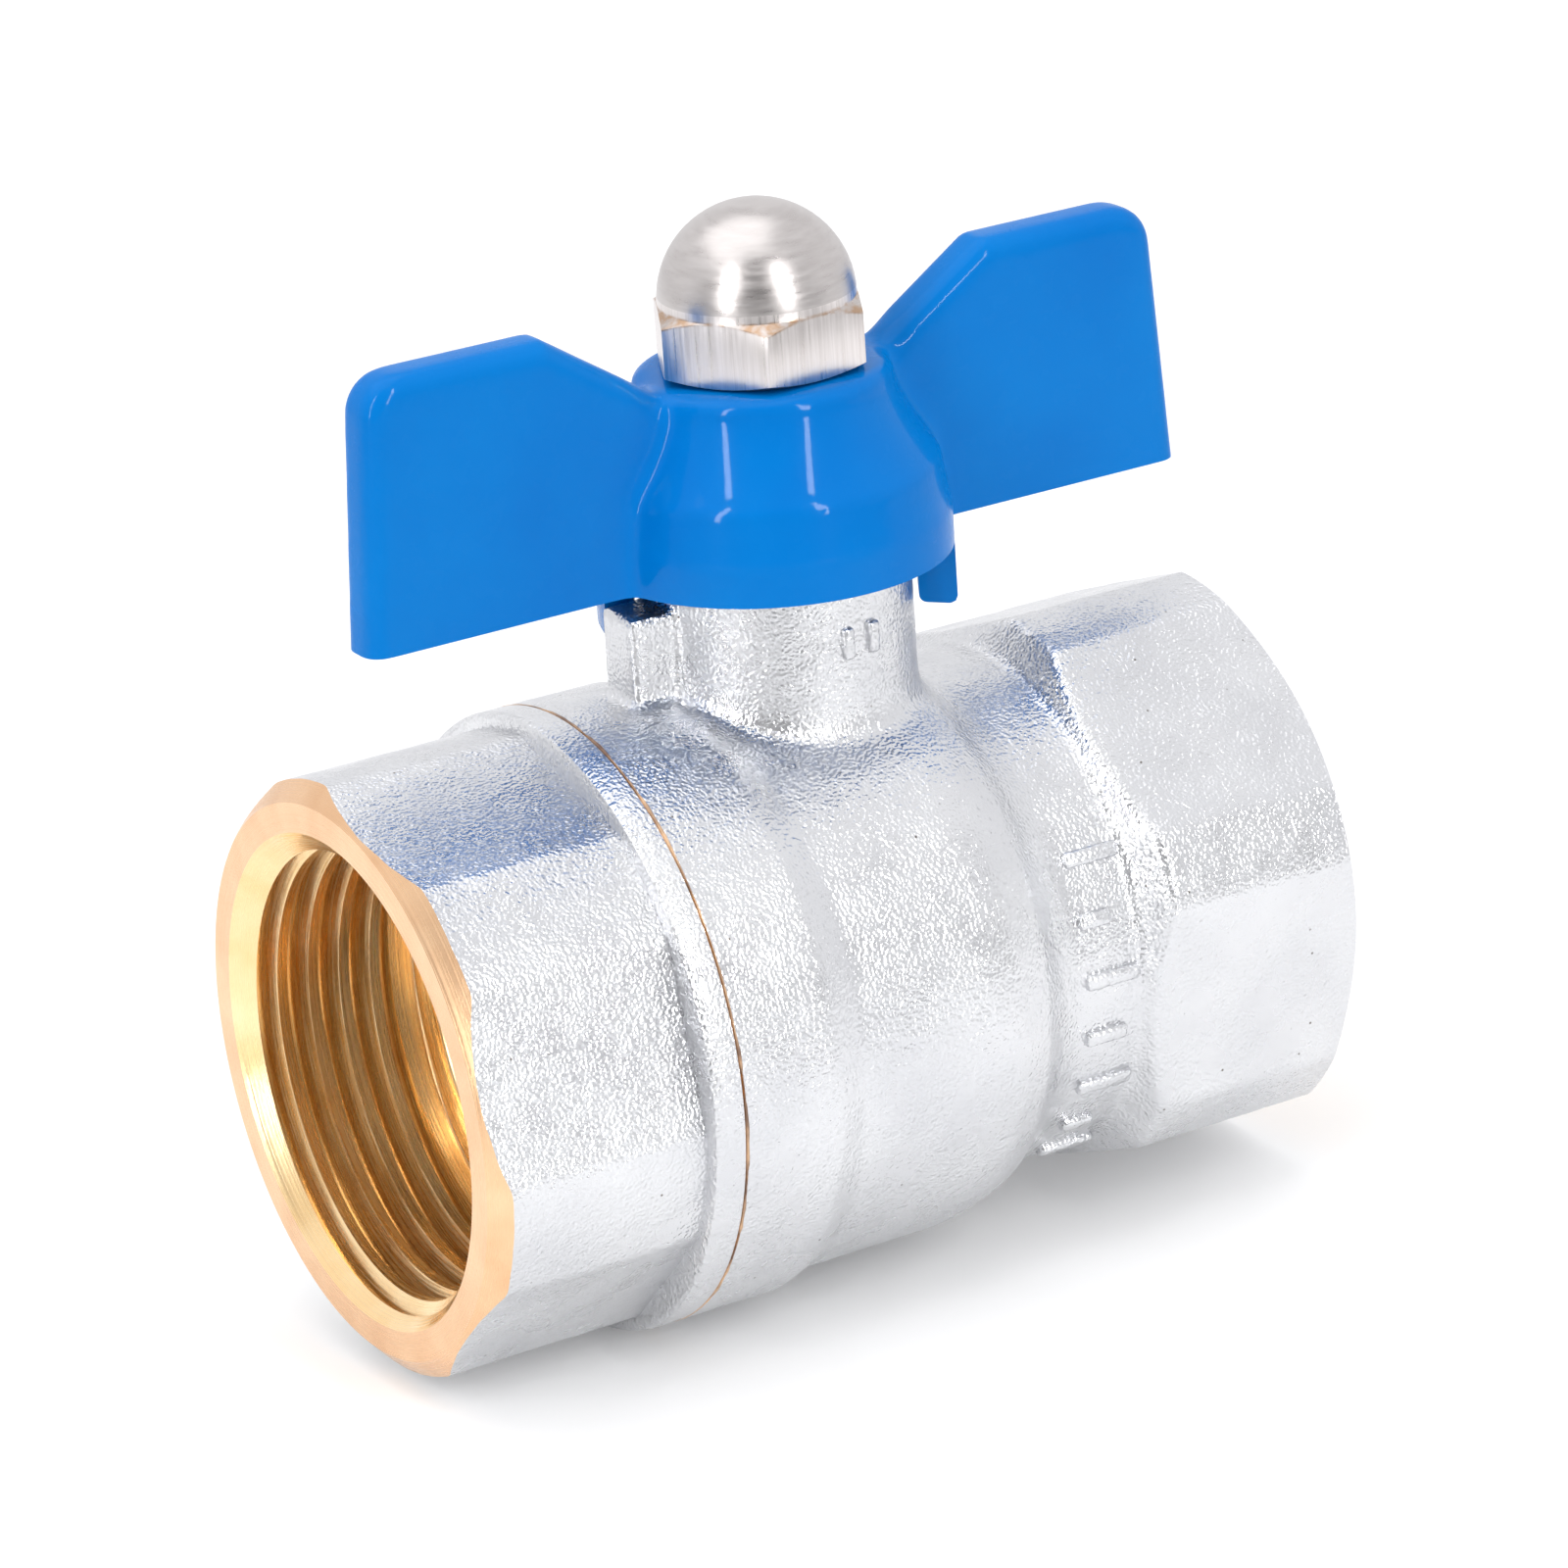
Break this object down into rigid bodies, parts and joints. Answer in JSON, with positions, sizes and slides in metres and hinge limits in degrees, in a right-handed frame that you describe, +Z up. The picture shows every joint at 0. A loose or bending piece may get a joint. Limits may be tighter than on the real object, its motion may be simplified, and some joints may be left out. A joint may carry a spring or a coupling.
{
  "type": "water shutoff ball valve",
  "caption": "Brass ball valve with female pipe threads at both ends and a butterfly handle that turns a quarter turn to shut off water.",
  "frame": {"origin": "centre of the ball, where the waterway axis and the stem axis cross", "axes": "+X along the waterway from the screwed connector to the body's own end, +Z up the stem to the handle, +Y completes a right-handed frame"},
  "size_m": [0.0671, 0.042, 0.0733],
  "materials": {
    "plated_forging": "satin plating over a shot-blasted brass forging",
    "bare_brass": "machined",
    "sealant": "cured thread sealant",
    "polished_ball": "polished hard chrome",
    "ptfe": "turned PTFE",
    "seal_rubber": "moulded",
    "blue_paint": "gloss powder coat on die-cast aluminium",
    "nut_steel": "turned dome, brushed flats"
  },
  "bodies": {
    "body": {"valve_body": "plated_forging", "end_connector": "plated_forging", "seam_sealant": "sealant", "inlet_seat": "ptfe", "outlet_seat": "ptfe", "thrust_washer": "ptfe", "stem_packing": "ptfe", "gland_nut": "bare_brass"},
    "stem_and_handle": {"stem": "bare_brass", "stem_o_ring": "seal_rubber", "handle": "blue_paint", "cap_nut": "nut_steel"},
    "ball": {"ball": "polished_ball"}
  },
  "joints": [
    {"name": "handle_turn", "type": "hinge", "parent": "body", "child": "stem_and_handle", "pos_m": [0, 0, 0], "axis": [0, 0, 1], "range_deg": [-90, 0]},
    {"name": "ball_turn", "type": "hinge", "parent": "body", "child": "ball", "pos_m": [0, 0, 0], "axis": [0, 0, 1], "range_deg": [-90, 0]}
  ],
  "couplings": [
    {"joint": "ball_turn", "follows": "handle_turn", "ratio": 1}
  ]
}
